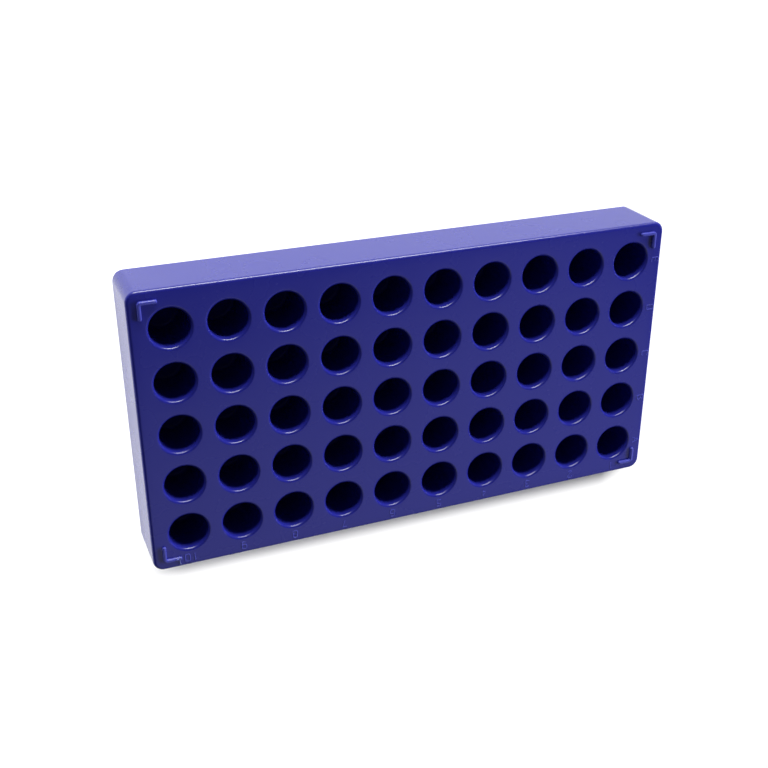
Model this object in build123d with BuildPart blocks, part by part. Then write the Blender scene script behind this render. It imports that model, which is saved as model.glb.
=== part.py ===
from build123d import *

import os
from math import radians, tan

# Fifty-well rack for cryogenic tubes, one plastic moulding, in millimetres.
# +Z is up through the mouths of the wells, +X runs along the ten columns from 1 to 10, and +Y points
# to the long edge that carries the numbers. The origin is the centre of the footprint, on the bench.
# The moulding is written as the simple regions it is made of. They meet face to face and don't overlap.

os.makedirs("parts", exist_ok=True)

# Wells
pitch = 19.0  # between neighbouring wells, both ways
columns = 10
rows = "abcde"  # a lies along the numbered edge
bore_radius = 6.8  # takes a 12.5 mm tube with 0.55 mm to spare all round
lip_radius = 1.0
cup_wall = 1.5
cup_floor = 1.6
cup_foot_radius = 0.8  # round the bottom edge of each cup
cup_ground_gap = 1.5  # the cups hang clear of the bench by this, to leave room for the ribs below

# Outer body, measured at the top face
body_length = 197.4
body_width = 103.2
deck_height = 22.2  # from the bench to the top face
deck_thickness = 2.0
skirt_wall = 1.8
corner_radius = 3.8  # of the upright corners
edge_radius = 1.2  # round the top face
draft_angle = 0.5  # degrees; the skirt is wider at the foot

# Stacking ribs, one angle in each corner of the top face
rib_height = 1.0
rib_width = 1.3
rib_arm = 6.5
rib_inset_x = 3.4  # from the end of the top face to the outer side of the rib
rib_inset_y = 3.2
rib_corner_radius = 1.0
rib_end_radius = 0.6
rib_edge_radius = 0.25

# Raised index characters
mark_height = 0.2
mark_stroke = 0.4
mark_half_width = 0.85  # from the centre of a character to the middle of its outer stroke
mark_half_height = 1.4
number_inset = 3.2  # from the edge of the top face to the middle of the characters
letter_inset = 2.6
letter_shift = 0.7  # the letters stand a little towards the numbered edge
ten_spacing = 2.7  # between the two digits of 10

deck_underside = deck_height - deck_thickness
cup_radius = bore_radius + cup_wall
well_floor = cup_ground_gap + cup_floor
well_block_length = columns * pitch
well_block_width = len(rows) * pitch
flare = deck_height * tan(radians(draft_angle))
column_x = [(i - (columns - 1) / 2) * pitch for i in range(columns)]
row_y = {letter: ((len(rows) - 1) / 2 - i) * pitch for i, letter in enumerate(rows)}
block_x = well_block_length / 2
block_y = well_block_width / 2
half_length = body_length / 2
half_width = body_width / 2


# One well: a square of the deck with a cup hanging from it
with BuildPart() as well:
    with BuildSketch(Plane.XY.offset(deck_underside)):
        Rectangle(pitch, pitch)
    extrude(amount=deck_thickness)
    with BuildSketch(Plane.XY.offset(cup_ground_gap)):
        Circle(cup_radius)
    extrude(amount=deck_underside - cup_ground_gap)
    fillet(well.edges().filter_by(GeomType.CIRCLE).group_by(Axis.Z)[0], cup_foot_radius)
    with BuildSketch(Plane.XY.offset(well_floor)):
        Circle(bore_radius)
    extrude(amount=deck_height - well_floor, mode=Mode.SUBTRACT)
    fillet(well.edges().filter_by(GeomType.CIRCLE).group_by(Axis.Z)[-1], lip_radius)

# A row of ten. Neighbours meet face to face, so they stay ten solids in one node.
for letter, y in row_y.items():
    cells = [well.part.moved(Location((x, y, 0))) for x in column_x]
    well_row = Compound(label=f"well_row_{letter}", children=cells)
    export_step(well_row, f"parts/well_row_{letter}.step")


# The deck border and the skirt, first as one open shell round the block of wells
with BuildPart() as shell:
    with BuildSketch():
        RectangleRounded(body_length + 2 * flare, body_width + 2 * flare, corner_radius + flare)
    extrude(amount=deck_height, taper=draft_angle)
    fillet(shell.faces().sort_by(Axis.Z)[-1].edges(), edge_radius)
    with BuildSketch():
        RectangleRounded(
            body_length + 2 * (flare - skirt_wall),
            body_width + 2 * (flare - skirt_wall),
            corner_radius + flare - skirt_wall,
        )
    extrude(amount=deck_underside, taper=draft_angle, mode=Mode.SUBTRACT)
    with BuildSketch(Plane.XY.offset(deck_underside)):
        Rectangle(well_block_length, well_block_width)
    extrude(amount=deck_thickness, mode=Mode.SUBTRACT)


def region(name, x_range, y_range, z_range):
    """The part of the shell inside one box, written as a node of its own."""
    (x_low, x_high), (y_low, y_high), (z_low, z_high) = x_range, y_range, z_range
    with BuildPart() as piece:
        add(shell.part)
        with BuildSketch(Plane.XY.offset(z_low)):
            with Locations(((x_low + x_high) / 2, (y_low + y_high) / 2)):
                Rectangle(x_high - x_low, y_high - y_low)
        extrude(amount=z_high - z_low, mode=Mode.INTERSECT)
    piece.part.label = name
    export_step(piece.part, f"parts/{name}.step")


beyond = half_length + 1  # reaches past the body in any direction
corner_x = half_length - corner_radius
corner_y = half_width - corner_radius
in_deck = (deck_underside, deck_height)
in_skirt = (0, deck_underside)

region("deck_border_numbers", (-beyond, beyond), (block_y, beyond), in_deck)
region("deck_border_plain", (-beyond, beyond), (-beyond, -block_y), in_deck)
region("deck_border_letters", (-beyond, -block_x), (-block_y, block_y), in_deck)
region("deck_border_end", (block_x, beyond), (-block_y, block_y), in_deck)

region("skirt_numbers", (-corner_x, corner_x), (0, beyond), in_skirt)
region("skirt_plain", (-corner_x, corner_x), (-beyond, 0), in_skirt)
region("skirt_letters", (-beyond, 0), (-corner_y, corner_y), in_skirt)
region("skirt_end", (0, beyond), (-corner_y, corner_y), in_skirt)

region("skirt_corner_a1", (-beyond, -corner_x), (corner_y, beyond), in_skirt)
region("skirt_corner_a10", (corner_x, beyond), (corner_y, beyond), in_skirt)
region("skirt_corner_e1", (-beyond, -corner_x), (-beyond, -corner_y), in_skirt)
region("skirt_corner_e10", (corner_x, beyond), (-beyond, -corner_y), in_skirt)


# Stacking ribs. The angle of each one points out to its own corner.
rib_middle_x = half_length - rib_inset_x - rib_width / 2
rib_middle_y = half_width - rib_inset_y - rib_width / 2
arm_to_middle = rib_arm - rib_width / 2
for name, side_x, side_y in (("a1", -1, 1), ("a10", 1, 1), ("e1", -1, -1), ("e10", 1, -1)):
    with BuildPart() as rib:
        with BuildSketch(Plane.XY.offset(deck_height)):
            with BuildLine():
                Polyline(
                    (side_x * (rib_middle_x - arm_to_middle), side_y * rib_middle_y),
                    (side_x * rib_middle_x, side_y * rib_middle_y),
                    (side_x * rib_middle_x, side_y * (rib_middle_y - arm_to_middle)),
                )
            trace(line_width=rib_width)
        extrude(amount=rib_height)
        outward = Axis((0, 0, 0), (side_x, side_y, 0))
        fillet(rib.edges().filter_by(Axis.Z).sort_by(outward)[:4], rib_end_radius)
        fillet(rib.edges().filter_by(Axis.Z).sort_by(outward)[-1], rib_corner_radius)
        fillet(rib.faces().sort_by(Axis.Z)[-1].edges(), rib_edge_radius)
    rib.part.label = f"stacking_rib_{name}"
    export_step(rib.part, f"parts/stacking_rib_{name}.step")


# Raised index characters, each as the strokes of a cutter: a corner radius and the points it passes
w = mark_half_width
h = mark_half_height
digit_strokes = {
    "0": [(0.8, [(-w, h), (w, h), (w, -h), (-w, -h), (-w, h)])],
    "1": [(0, [(-0.45, 0.85), (0.15, h), (0.15, -h)])],
    "2": [(0.75, [(-w, 0.5), (-w, h), (w, h), (w, 0.2), (-w, -h)]), (0, [(-w, -h), (w, -h)])],
    "3": [
        (0.6, [(-w, h), (w, h), (w, 0.1), (-0.2, 0.1)]),
        (0.7, [(-0.2, 0.1), (w, 0.1), (w, -h), (-w, -h)]),
    ],
    "4": [(0, [(0.35, -h), (0.35, h), (-w, -0.6)]), (0, [(-w, -0.6), (w, -0.6)])],
    "5": [
        (0, [(w, h), (-0.7, h), (-0.7, 0.35)]),
        (0.8, [(-0.7, 0.35), (w, 0.35), (w, -h), (-w, -h)]),
    ],
    "6": [
        (0.8, [(-w, 0.3), (w, 0.3), (w, -h), (-w, -h), (-w, 0.3)]),
        (0.8, [(-w, -0.6), (-w, h), (0.7, h)]),
    ],
    "7": [(0, [(-w, h), (w, h), (-0.2, -h)])],
    "8": [
        (0.6, [(-0.75, h), (0.75, h), (0.75, 0.15), (-0.75, 0.15), (-0.75, h)]),
        (0.7, [(-w, 0.15), (w, 0.15), (w, -h), (-w, -h), (-w, 0.15)]),
    ],
    "9": [
        (0.8, [(-w, h), (w, h), (w, -0.3), (-w, -0.3), (-w, h)]),
        (0.8, [(w, 0.6), (w, -h), (-0.7, -h)]),
    ],
}
letter_strokes = {
    "A": [(0, [(-1.05, -h), (0, h), (1.05, -h)]), (0, [(-0.7, -0.5), (0.7, -0.5)])],
    "B": [
        (0, [(-w, -h), (-w, h)]),
        (0.6, [(-w, h), (0.7, h), (0.7, 0.1), (-w, 0.1)]),
        (0.7, [(-w, 0.1), (w, 0.1), (w, -h), (-w, -h)]),
    ],
    "C": [(0.75, [(w, 0.5), (w, h), (-w, h), (-w, -h), (w, -h), (w, -0.5)])],
    "D": [(0.8, [(-w, h), (w, h), (w, -h), (-w, -h)]), (0, [(-w, -h), (-w, h)])],
    "E": [(0, [(w, h), (-w, h), (-w, -h), (w, -h)]), (0, [(-w, 0), (0.6, 0)])],
}


def index_mark(strokes, plane):
    """One raised character, cut along its strokes, standing on the top face at the plane's origin."""
    with BuildPart() as mark:
        with BuildSketch(plane):
            for radius, points in strokes:
                with BuildLine():
                    if radius == 0:
                        Polyline(*points)
                    elif points[0] == points[-1]:
                        FilletPolyline(*points[:-1], radius=radius, close=True)
                    else:
                        FilletPolyline(*points, radius=radius)
                trace(line_width=mark_stroke)
        extrude(amount=mark_height)
    return mark.part


number_y = half_width - number_inset
numbers = []
for i, x in enumerate(column_x):
    digits = str(i + 1)
    for j, digit in enumerate(digits):
        digit_x = x + (j - (len(digits) - 1) / 2) * ten_spacing
        numbers.append(index_mark(digit_strokes[digit], Plane((digit_x, number_y, deck_height))))
export_step(Compound(label="index_numbers", children=numbers), "parts/index_numbers.step")

# The letters are turned a quarter, so that their feet point to the wells.
letter_x = letter_inset - half_length
letters = []
for letter, y in row_y.items():
    standing = Plane((letter_x, y + letter_shift, deck_height), x_dir=(0, 1, 0), z_dir=(0, 0, 1))
    letters.append(index_mark(letter_strokes[letter.upper()], standing))
export_step(Compound(label="index_letters", children=letters), "parts/index_letters.step")
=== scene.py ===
from math import cos, hypot, radians, sin, tan

import bmesh
import bpy
from mathutils import Matrix, Vector


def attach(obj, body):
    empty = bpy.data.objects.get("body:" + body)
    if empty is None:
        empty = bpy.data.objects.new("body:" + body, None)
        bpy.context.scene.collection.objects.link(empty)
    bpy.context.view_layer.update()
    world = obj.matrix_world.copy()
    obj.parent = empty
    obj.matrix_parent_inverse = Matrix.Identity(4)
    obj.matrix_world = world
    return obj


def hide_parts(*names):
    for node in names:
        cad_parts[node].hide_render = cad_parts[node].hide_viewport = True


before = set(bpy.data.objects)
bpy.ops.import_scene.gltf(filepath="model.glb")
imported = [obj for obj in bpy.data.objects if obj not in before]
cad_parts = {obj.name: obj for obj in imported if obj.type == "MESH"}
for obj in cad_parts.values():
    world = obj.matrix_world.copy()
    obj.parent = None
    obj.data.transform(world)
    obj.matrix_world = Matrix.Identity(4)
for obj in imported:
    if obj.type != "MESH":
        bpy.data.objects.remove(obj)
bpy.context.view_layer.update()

MM = 0.001

# Sizes of the moulding, in millimetres
PITCH = 19.0
COLUMNS = 10
ROWS = 5
BORE_RADIUS = 6.8
LIP_RADIUS = 1.0
CUP_WALL = 1.5
CUP_BOTTOM = 1.5
FLOOR_TOP = 3.1
FLOOR_CORNER = 1.0
CUP_ROOT = 0.5
CUP_FOOT = 0.8
LENGTH = 197.4
WIDTH = 103.2
DECK_TOP = 22.2
DECK_UNDER = 20.2
SKIRT_WALL = 1.8
CORNER_RADIUS = 3.8
EDGE_RADIUS = 1.2
FLARE = DECK_TOP * tan(radians(0.5))
SIDE_CUTS = 16  # pieces that one side of a well's square of deck is divided into
ROUND = 4 * SIDE_CUTS  # points round a well, so that it meets its square point for point

RIB_HEIGHT = 1.0
RIB_WIDTH = 1.3
RIB_ARM = 6.5
RIB_INSET_X = 3.4
RIB_INSET_Y = 3.2
RIB_OUTER_CORNER = 1.2
RIB_END = 0.6
RIB_NOSE = 0.54  # the ribs are nearly half round on top
RIB_SINK = 0.1  # how far a rib is rooted in the deck

# Raised index characters. Each stroke is the path of a round-nosed cutter; two points make a straight
# stroke, more are rounded off, and a stroke that ends where it starts closes on itself.
MARK_RADIUS = 0.3  # of the round-nosed cutter that drew the characters
MARK_RAISE = -0.18  # from the top face to the middle of that nose
MARK_X = 0.85
MARK_Y = 1.4
NUMBER_INSET = 3.2
LETTER_INSET = 2.6
LETTER_SHIFT = 0.7  # the letters stand a little towards the numbered edge
TEN_SPACING = 2.7  # between the two digits of 10
FLOOR_SIZE = 2000.0  # of the board that the rack is shown on
w, h = MARK_X, MARK_Y
STROKES = {
    "0": [[(0, h), (w, h), (w, 0), (w, -h), (0, -h), (-w, -h), (-w, 0), (-w, h), (0, h)]],
    "1": [[(-0.45, 0.85), (0.15, h)], [(0.15, h), (0.15, -h)]],
    "2": [[(-w, 0.6), (-w, h), (0, h), (w, h), (w, 0.4), (-w, -h)], [(-w, -h), (w, -h)]],
    "3": [[(-w, 1.1), (-0.3, h), (w, h), (w, 0.1), (-0.2, 0.1)],
          [(-0.25, 0.1), (w, 0.1), (w, -h), (0, -h), (-w, -1.1)]],
    "4": [[(0.35, -h), (0.35, h)], [(0.35, h), (-w, -0.6)], [(-w, -0.6), (w, -0.6)]],
    "5": [[(w, h), (-0.7, h)], [(-0.7, h), (-0.7, 0.3)],
          [(-0.7, 0.3), (w, 0.6), (w, -h), (0, -h), (-w, -1.2)]],
    "6": [[(0, 0.3), (w, 0.3), (w, -h), (0, -h), (-w, -h), (-w, 0.3), (0, 0.3)],
          [(-w, -0.5), (-w, h), (0.2, h), (0.7, 1.2)]],
    "7": [[(-w, h), (w, h)], [(w, h), (-0.2, -h)]],
    "8": [[(0, h), (0.75, h), (0.75, 0.15), (0, 0.15), (-0.75, 0.15), (-0.75, h), (0, h)],
          [(0, 0.15), (w, 0.15), (w, -h), (0, -h), (-w, -h), (-w, 0.15), (0, 0.15)]],
    "9": [[(0, -0.3), (-w, -0.3), (-w, h), (0, h), (w, h), (w, -0.3), (0, -0.3)],
          [(w, 0.5), (w, -h), (-0.2, -h), (-0.7, -1.2)]],
    "A": [[(-1.05, -h), (0, h)], [(0, h), (1.05, -h)], [(-0.7, -0.5), (0.7, -0.5)]],
    "B": [[(-w, -h), (-w, h)], [(-w, h), (0.7, h), (0.7, 0.1), (-w, 0.1)],
          [(-0.8, 0.1), (w, 0.1), (w, -h), (-0.8, -h)]],
    "C": [[(w, 0.8), (0.7, h), (0, h), (-w, h), (-w, 0), (-w, -h), (0, -h), (0.7, -h), (w, -0.8)]],
    "D": [[(-w, -h), (-w, h)], [(-w, h), (0.2, h), (w, h), (w, 0), (w, -h), (0.2, -h), (-w, -h)]],
    "E": [[(-w, -h), (-w, h)], [(-w, h), (w, h)], [(-w, 0), (0.6, 0)], [(-w, -h), (w, -h)]],
}

BODY_NODES = (
    [f"well_row_{row}" for row in "abcde"]
    + [f"deck_border_{side}" for side in ("numbers", "plain", "letters", "end")]
    + [f"skirt_{side}" for side in ("numbers", "plain", "letters", "end")]
    + [f"skirt_corner_{corner}" for corner in ("a1", "a10", "e1", "e10")]
)
CLOSE = 1e-5  # metres; two places nearer than this are the same
NEAR = 0.1  # millimetres; room left round a place when faces or edges there are picked
WELD = 0.002  # millimetres; the caps of a stroke are welded to it over gaps up to this


# Modelling helpers

def mm(*values):
    """Millimetres to a vector in metres."""
    return Vector(values) * MM


def only(obj):
    """Selects this object alone and makes it the active one."""
    if bpy.context.object and bpy.context.object.mode != "OBJECT":
        bpy.ops.object.mode_set(mode="OBJECT")
    bpy.ops.object.select_all(action="DESELECT")
    obj.select_set(True)
    bpy.context.view_layer.objects.active = obj


def start(name):
    """Takes the primitive just added as a new piece, with its place and size put into its mesh."""
    obj = bpy.context.object
    obj.name = obj.data.name = name
    bpy.ops.object.transform_apply(location=True, rotation=True, scale=True)
    return obj


def edit(obj):
    only(obj)
    bpy.ops.object.mode_set(mode="EDIT")
    bpy.ops.mesh.select_all(action="DESELECT")


def done(obj):
    bpy.ops.object.mode_set(mode="OBJECT")
    return obj


def pick_verts(obj, test):
    """In edit mode, selects just the points that pass the test."""
    bpy.ops.mesh.select_mode(type="VERT")
    bpy.ops.mesh.select_all(action="DESELECT")
    mesh = bmesh.from_edit_mesh(obj.data)
    for v in mesh.verts:
        v.select_set(test(v.co))
    mesh.select_flush_mode()
    bmesh.update_edit_mesh(obj.data)


def pick_edges(obj, test, open_only=False):
    """In edit mode, selects just the edges whose two ends both pass the test."""
    bpy.ops.mesh.select_mode(type="EDGE")
    bpy.ops.mesh.select_all(action="DESELECT")
    mesh = bmesh.from_edit_mesh(obj.data)
    for e in mesh.edges:
        e.select_set(all(test(v.co) for v in e.verts) and (e.is_boundary or not open_only))
    bmesh.update_edit_mesh(obj.data)


def pick_uprights(obj, least, test=lambda p: True):
    """In edit mode, selects just the edges that rise by more than least and stand where the test says."""
    bpy.ops.mesh.select_mode(type="EDGE")
    bpy.ops.mesh.select_all(action="DESELECT")
    mesh = bmesh.from_edit_mesh(obj.data)
    for e in mesh.edges:
        foot, head = (v.co for v in e.verts)
        e.select_set(abs(foot.z - head.z) > least and test(foot))
    bmesh.update_edit_mesh(obj.data)


def pick_faces(obj, test):
    """In edit mode, selects just the faces whose middle and normal pass the test."""
    bpy.ops.mesh.select_mode(type="FACE")
    bpy.ops.mesh.select_all(action="DESELECT")
    mesh = bmesh.from_edit_mesh(obj.data)
    for f in mesh.faces:
        f.select_set(test(f.calc_center_median(), f.normal))
    bmesh.update_edit_mesh(obj.data)


def at(value, target):
    return abs(value - target) < CLOSE


def bevel(width, segments):
    bpy.ops.mesh.bevel(offset=width * MM, offset_type="OFFSET", segments=segments, affect="EDGES")


def push(x=0.0, y=0.0, z=0.0):
    """Extrudes the selection and moves what is new by this much, in millimetres."""
    bpy.ops.mesh.extrude_region_move(TRANSFORM_OT_translate={"value": mm(x, y, z)})


def apply_modifier(obj, kind, **settings):
    only(obj)
    modifier = obj.modifiers.new(kind.lower(), kind)
    for key, value in settings.items():
        setattr(modifier, key, value)
    bpy.ops.object.modifier_apply(modifier=modifier.name)


def smooth(obj, angle=35):
    """Round faces shade as round and flat ones as flat."""
    only(obj)
    bpy.ops.object.shade_smooth_by_angle(angle=radians(angle))
    apply_modifier(obj, "WEIGHTED_NORMAL", keep_sharp=True, weight=100)


# The body

def square_to_circle(obj, centre, z, radius):
    """A square of the deck, with a round hole, at one level. Leaves the edge of the hole selected."""
    place = mm(centre[0], centre[1], z)
    half = PITCH / 2 * MM
    bpy.ops.mesh.primitive_grid_add(
        x_subdivisions=SIDE_CUTS, y_subdivisions=SIDE_CUTS, size=PITCH * MM, location=place
    )
    inside = half - CLOSE
    pick_verts(obj, lambda p: at(p.z, place.z) and max(abs(p.x - place.x), abs(p.y - place.y)) < inside)
    bpy.ops.mesh.delete(type="VERT")
    bpy.ops.mesh.select_all(action="DESELECT")
    bpy.ops.mesh.primitive_circle_add(vertices=ROUND, radius=radius * MM, location=place)
    pick_edges(obj, lambda p: at(p.z, place.z))
    bpy.ops.mesh.bridge_edge_loops()
    pick_edges(obj, on_circle(centre, z, radius))


def on_circle(centre, z, radius):
    """A test for the points of one level circle."""
    def test(p):
        out = hypot(p.x - centre[0] * MM, p.y - centre[1] * MM)
        return at(p.z, z * MM) and at(out, radius * MM)
    return test


def make_wells():
    """The first well, modelled once, and its fifty copies welded into one sheet of deck and cups."""
    centre = (-(COLUMNS - 1) / 2 * PITCH, (ROWS - 1) / 2 * PITCH)
    cup_radius = BORE_RADIUS + CUP_WALL
    bpy.ops.mesh.primitive_grid_add(x_subdivisions=1, y_subdivisions=1, size=MM)
    wells = start("wells")
    edit(wells)
    bpy.ops.mesh.select_all(action="SELECT")
    bpy.ops.mesh.delete(type="VERT")

    square_to_circle(wells, centre, DECK_TOP, BORE_RADIUS)
    push(z=FLOOR_TOP - DECK_TOP)
    bpy.ops.mesh.edge_face_add()
    pick_edges(wells, on_circle(centre, FLOOR_TOP, BORE_RADIUS))
    bevel(FLOOR_CORNER, 3)
    pick_edges(wells, on_circle(centre, DECK_TOP, BORE_RADIUS))
    bevel(LIP_RADIUS, 6)

    square_to_circle(wells, centre, DECK_UNDER, cup_radius)
    push(z=CUP_BOTTOM - DECK_UNDER)
    bpy.ops.mesh.edge_face_add()
    pick_edges(wells, on_circle(centre, CUP_BOTTOM, cup_radius))
    bevel(CUP_FOOT, 3)
    pick_edges(wells, on_circle(centre, DECK_UNDER, cup_radius))
    bevel(CUP_ROOT, 2)
    done(wells)

    for count, step in ((COLUMNS, mm(PITCH, 0, 0)), (ROWS, mm(0, -PITCH, 0))):
        apply_modifier(
            wells, "ARRAY", count=count, use_relative_offset=False, use_constant_offset=True,
            constant_offset_displace=step, use_merge_vertices=True, merge_threshold=CLOSE,
        )
    return wells


def make_skirt():
    """The outer shell: a box with upright corners and a top edge rounded, open below and on top."""
    outer = mm(LENGTH + 2 * FLARE, WIDTH + 2 * FLARE, DECK_TOP)
    bpy.ops.mesh.primitive_cube_add(size=1, scale=outer, location=(0, 0, outer.z / 2))
    skirt = start("skirt")
    edit(skirt)
    pick_faces(skirt, lambda middle, normal: normal.z > 0.5)
    taper = (LENGTH / (LENGTH + 2 * FLARE), WIDTH / (WIDTH + 2 * FLARE), 1)
    bpy.ops.transform.resize(value=taper, center_override=(0, 0, 0))
    pick_uprights(skirt, DECK_UNDER * MM)
    bevel(CORNER_RADIUS, 8)
    pick_faces(skirt, lambda middle, normal: normal.z < -0.5)
    bpy.ops.mesh.inset(thickness=SKIRT_WALL * MM)
    push(z=DECK_UNDER)
    bpy.ops.mesh.delete(type="FACE")
    pick_edges(skirt, lambda p: at(p.z, outer.z))
    bevel(EDGE_RADIUS, 5)
    pick_faces(skirt, lambda middle, normal: normal.z > 0.999)
    bpy.ops.mesh.delete(type="FACE")
    return done(skirt)


def make_body():
    """Deck, wells and skirt as the one continuous moulding that they are."""
    wells = make_wells()
    skirt = make_skirt()
    only(wells)
    skirt.select_set(True)
    bpy.ops.object.join()
    body = bpy.context.object
    body.name = body.data.name = "rack_body"
    edit(body)
    for level in (DECK_TOP, DECK_UNDER):
        pick_edges(body, lambda p: at(p.z, level * MM), open_only=True)
        bpy.ops.mesh.fill(use_beauty=True)
    bpy.ops.mesh.select_all(action="SELECT")
    bpy.ops.mesh.normals_make_consistent(inside=False)
    done(body)
    smooth(body)
    return body


# Ribs on the deck

def make_rib(name, side_x, side_y):
    """One raised angle. Its corner points out to the corner of the rack that side_x and side_y name."""
    square = Vector((RIB_WIDTH, RIB_WIDTH))
    corner = Vector((LENGTH / 2 - RIB_INSET_X, WIDTH / 2 - RIB_INSET_Y)) - square / 2
    height = RIB_HEIGHT + RIB_SINK
    bpy.ops.mesh.primitive_cube_add(
        size=1,
        scale=mm(RIB_WIDTH, RIB_WIDTH, height),
        location=mm(side_x * corner.x, side_y * corner.y, DECK_TOP - RIB_SINK + height / 2),
    )
    rib = start(name)
    edit(rib)
    reach = RIB_ARM - RIB_WIDTH
    pick_faces(rib, lambda middle, normal: normal.x * side_x < -0.5)
    push(x=-side_x * reach)
    at_corner = (corner.x - NEAR) * MM
    pick_faces(rib, lambda middle, normal: normal.y * side_y < -0.5 and abs(middle.x) > at_corner)
    push(y=-side_y * reach)

    tip = (corner + square / 2) * MM
    end = (RIB_ARM - NEAR) * MM
    half_height = height / 2 * MM
    pick_uprights(rib, half_height, lambda p: tip.x - abs(p.x) < CLOSE and tip.y - abs(p.y) < CLOSE)
    bevel(RIB_OUTER_CORNER, 6)
    pick_uprights(rib, half_height, lambda p: tip.x - abs(p.x) > end or tip.y - abs(p.y) > end)
    bevel(RIB_END, 4)
    pick_edges(rib, lambda p: at(p.z, (DECK_TOP + RIB_HEIGHT) * MM))
    bevel(RIB_NOSE, 5)
    done(rib)
    smooth(rib)
    return rib


def round_strokes(name, strokes, radius, corner_order=3):
    """Round bars along the given lines of points, in millimetres, welded into one piece."""
    bpy.ops.object.select_all(action="DESELECT")
    bpy.ops.curve.primitive_nurbs_path_add(radius=MM)
    curve = bpy.context.object
    curve.data.splines.clear()
    for points in strokes:
        closed = len(points) > 2 and points[0] == points[-1]
        points = points[:-1] if closed else points
        spline = curve.data.splines.new("NURBS")
        spline.points.add(len(points) - 1)
        for target, point in zip(spline.points, points):
            target.co = (*mm(*point), 1)
        spline.use_cyclic_u = closed
        spline.use_endpoint_u = not closed
        spline.order_u = min(corner_order, len(points))
        spline.resolution_u = 5
    curve.data.bevel_depth = radius * MM
    curve.data.bevel_resolution = 3
    curve.data.use_fill_caps = True
    bpy.ops.object.convert(target="MESH")
    piece = start(name)
    edit(piece)
    bpy.ops.mesh.select_all(action="SELECT")
    bpy.ops.mesh.remove_doubles(threshold=WELD * MM)
    bpy.ops.mesh.normals_make_consistent(inside=False)
    done(piece)
    bpy.ops.object.shade_smooth_by_angle(angle=radians(50))
    return piece


def make_marks(name, marks):
    """Characters as one piece. Each is (character, x, y, turned), and a turned one lies a quarter left."""
    level = DECK_TOP + MARK_RAISE
    strokes = []
    for character, x, y, turned in marks:
        for points in STROKES[character]:
            strokes.append([(x - v, y + u, level) if turned else (x + u, y + v, level) for u, v in points])
    return round_strokes(name, strokes, MARK_RADIUS)


def press(rib, x, y, reach, above, shift):
    """Moves the points of a rib that lie within reach of one place and this far above the deck."""
    level = (DECK_TOP + above) * MM
    pick_verts(rib, lambda p: p.z > level and hypot(p.x - x * MM, p.y - y * MM) < reach * MM)
    bpy.ops.transform.translate(value=mm(*shift))


def crush(rib, x, y, drop):
    """Presses the top of a rib down and outwards near one place, as a hard knock does, with a dent beside."""
    edit(rib)
    press(rib, x, y, reach=1.2, above=0.4, shift=(-0.15, 0.2, -drop))
    press(rib, x + 1.6, y, reach=0.9, above=0.1, shift=(0.05, -0.1, -0.4 * drop))
    done(rib)


# Material

def srgb(text):
    """A hex colour, as seen on a screen, to linear light."""
    values = [int(text[i : i + 2], 16) / 255 for i in (0, 2, 4)]
    return [v / 12.92 if v <= 0.04045 else ((v + 0.055) / 1.055) ** 2.4 for v in values] + [1.0]


def add_node(tree, kind, settings=None, inputs=None):
    """Adds one node. A value in inputs that is a socket is linked, and any other is set."""
    node = tree.nodes.new(kind)
    for key, value in (settings or {}).items():
        setattr(node, key, value)
    for key, value in (inputs or {}).items():
        if isinstance(value, bpy.types.NodeSocket):
            tree.links.new(value, node.inputs[key])
        else:
            node.inputs[key].default_value = value
    return node


def polypropylene(name, deep, pale):
    """Ultramarine polypropylene from a lightly blasted mould: deep colour under a soft even sheen."""
    material = bpy.data.materials.new(name)
    material.use_nodes = True
    tree = material.node_tree
    tree.nodes.clear()
    place = add_node(tree, "ShaderNodeTexCoord").outputs["Object"]
    # pigment that has flowed unevenly in the mould, in clouds about 12 mm across
    clouds = add_node(tree, "ShaderNodeTexNoise", inputs={"Vector": place, "Scale": 85.0, "Detail": 3.0})
    tint = add_node(
        tree, "ShaderNodeMix", {"data_type": "RGBA"},
        {0: clouds.outputs["Fac"], 6: srgb(deep), 7: srgb(pale)},
    )
    # the blasted grain of the mould, features near 0.8 mm
    grain = add_node(tree, "ShaderNodeTexNoise", inputs={"Vector": place, "Scale": 1300.0, "Detail": 2.0})
    bump = add_node(
        tree, "ShaderNodeBump", inputs={"Strength": 0.06, "Distance": 0.00003, "Height": grain.outputs["Fac"]}
    )
    rough = add_node(
        tree, "ShaderNodeMapRange", inputs={"Value": clouds.outputs["Fac"], "To Min": 0.24, "To Max": 0.3}
    )
    shader = add_node(
        tree, "ShaderNodeBsdfPrincipled",
        inputs={
            "Base Color": tint.outputs[2],
            "Roughness": rough.outputs["Result"],
            "IOR": 1.49,
            "Specular IOR Level": 0.26,
            "Normal": bump.outputs["Normal"],
        },
    )
    add_node(tree, "ShaderNodeOutputMaterial", inputs={"Surface": shader.outputs["BSDF"]})
    return material


def studio_floor():
    """Matt white laminate board."""
    material = bpy.data.materials.new("white_board")
    material.use_nodes = True
    shader = material.node_tree.nodes["Principled BSDF"]
    shader.inputs["Base Color"].default_value = srgb("F4F4F4")
    shader.inputs["Roughness"].default_value = 0.9
    return material


# Build

body = make_body()
plastic = polypropylene("moulded_polypropylene", "1E2182", "212486")
# what stands proud is painted paler than the deck: a painted highlight for the light that raised edges and
# rounded rib tops catch
painted_highlight = polypropylene("painted_highlight_polypropylene", "3A3EA4", "484CAE")
# plastic stretched till it tore, which strain has turned pale and almost waxy
torn = polypropylene("torn_polypropylene", "747ED2", "858FDE")
ribs = []
for name, side_x, side_y in (("a1", -1, 1), ("a10", 1, 1), ("e1", -1, -1), ("e10", 1, -1)):
    ribs.append(make_rib(f"rib_{name}", side_x, side_y))

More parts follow.
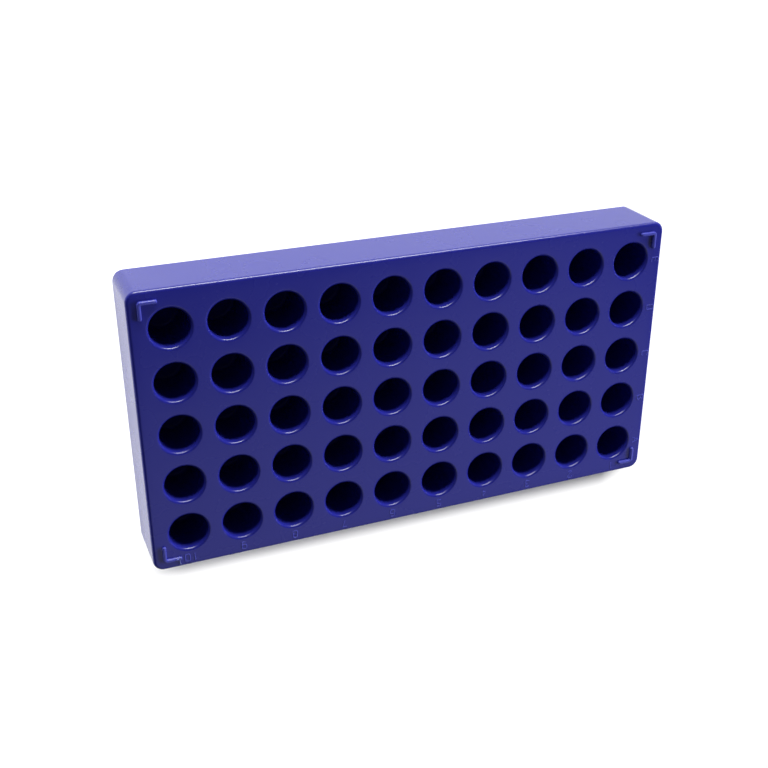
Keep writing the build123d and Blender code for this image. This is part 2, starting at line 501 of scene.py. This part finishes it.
arm_end_x = LENGTH / 2 - RIB_INSET_X - RIB_ARM
crush(ribs[1], arm_end_x + 0.4, WIDTH / 2 - RIB_INSET_Y - 0.6, drop=0.45)
deck = DECK_TOP + 0.1  # the shred rests on the deck
burr = round_strokes(
    "burr",
    [
        [(89.0, 47.3, deck + 0.5), (89.5, 48.0, deck + 0.5), (89.7, 49.2, deck + 0.1), (89.3, 50.4, deck)],
        [(90.9, 47.9, deck + 0.6), (90.0, 47.7, deck + 0.7), (89.1, 47.2, deck + 0.5)],
    ],
    0.13,
)

number_marks = []
for i in range(COLUMNS):
    digits = str(i + 1)
    for j, digit in enumerate(digits):
        x = (i - (COLUMNS - 1) / 2) * PITCH + (j - (len(digits) - 1) / 2) * TEN_SPACING
        number_marks.append((digit, x, WIDTH / 2 - NUMBER_INSET, False))
numbers = make_marks("numbers", number_marks)
letter_marks = []
for i, letter in enumerate("ABCDE"):
    y = ((ROWS - 1) / 2 - i) * PITCH + LETTER_SHIFT
    letter_marks.append((letter, LETTER_INSET - LENGTH / 2, y, True))
letters = make_marks("letters", letter_marks)

# ribs and raised characters take the paler blue of the painted highlight; the body keeps the plain moulded
# blue
finishes = [(body, plastic)] + [(piece, painted_highlight) for piece in (*ribs, numbers, letters)] + [(burr, torn)]
for piece, finish in finishes:
    piece.data.materials.clear()
    piece.data.materials.append(finish)
    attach(piece, "root")
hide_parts(*BODY_NODES)
for rib, corner in zip(ribs, ("a1", "a10", "e1", "e10")):
    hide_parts(f"stacking_rib_{corner}")
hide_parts("index_numbers")
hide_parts("index_letters")


# Studio

bpy.ops.object.select_all(action="DESELECT")
bpy.ops.mesh.primitive_plane_add(size=FLOOR_SIZE * MM)
floor = bpy.context.object
floor.name = "studio_floor"
floor.data.materials.append(studio_floor())


def area_light(name, place, aim, size, power, receivers=None):
    """A soft box at place, in millimetres, turned to face aim."""
    data = bpy.data.lights.new(name, "AREA")
    data.shape = "RECTANGLE"
    data.size = size[0] * MM
    data.size_y = size[1] * MM
    data.energy = power
    light = bpy.data.objects.new(name, data)
    bpy.context.scene.collection.objects.link(light)
    light.location = mm(*place)
    light.rotation_euler = (mm(*aim) - light.location).to_track_quat("-Z", "Y").to_euler()
    light.visible_camera = False
    if receivers is not None:
        light.light_linking.receiver_collection = receivers
    return light


def collection(name, objects):
    group = bpy.data.collections.new(name)
    for obj in objects:
        group.objects.link(obj)
    return group


on_floor = collection("lit_floor", [floor])
on_rack = collection("lit_rack", [body, *ribs, numbers, letters, burr])

area_light("floor_light", (360, -1200, 1460), (0, 0, 0), (1200, 420), 71, on_floor)
area_light("floor_end_light", (600, -40, 300), (150, 0, 0), (400, 400), 2.2, on_floor)
area_light("low_key", (-120, -900, 195), (0, 0, 20), (800, 110), 9.2, on_rack)
glint = area_light("glint", (-120, -900, 195), (0, 0, 20), (800, 110), 22, on_rack)
glint.visible_diffuse = False
end_fill = area_light("end_fill", (900, -100, 55), (0, 0, 20), (500, 70), 1.3, on_rack)
end_fill.visible_glossy = False
side_key = area_light("side_key", (-900, 90, 370), (0, 0, 20), (800, 350), 14.5, on_rack)
side_key.visible_glossy = False
panel = area_light("sheen_panel", (-150, 520, 700), (0, 0, 20), (1100, 450), 1.92, on_rack)
panel.visible_diffuse = False

world = bpy.data.worlds.new("pale_studio")
bpy.context.scene.world = world
world.use_nodes = True
tree = world.node_tree
tree.nodes.clear()
seen = add_node(tree, "ShaderNodeLightPath")
strength = add_node(
    tree, "ShaderNodeMapRange", inputs={"Value": seen.outputs["Is Camera Ray"], "To Min": 0.08, "To Max": 1.0}
)
sky = add_node(
    tree, "ShaderNodeBackground", inputs={"Color": srgb("FFFFFF"), "Strength": strength.outputs["Result"]}
)
add_node(tree, "ShaderNodeOutputWorld", inputs={"Surface": sky.outputs["Background"]})

camera_data = bpy.data.cameras.new("camera")
camera_data.lens = 51.083
camera_data.sensor_width = 36.0
camera = bpy.data.objects.new("camera", camera_data)
bpy.context.scene.collection.objects.link(camera)
view_right = Vector((-0.927615, 0.002790, 0.373527))
view_up = Vector((-0.162199, -0.903787, -0.396055))
camera.matrix_world = Matrix.Translation(mm(141.52, -169.36, 343.36)) @ Matrix(
    (view_right, view_up, view_right.cross(view_up))
).transposed().to_4x4()
bpy.context.scene.camera = camera
bpy.context.scene.view_settings.view_transform = "Standard"
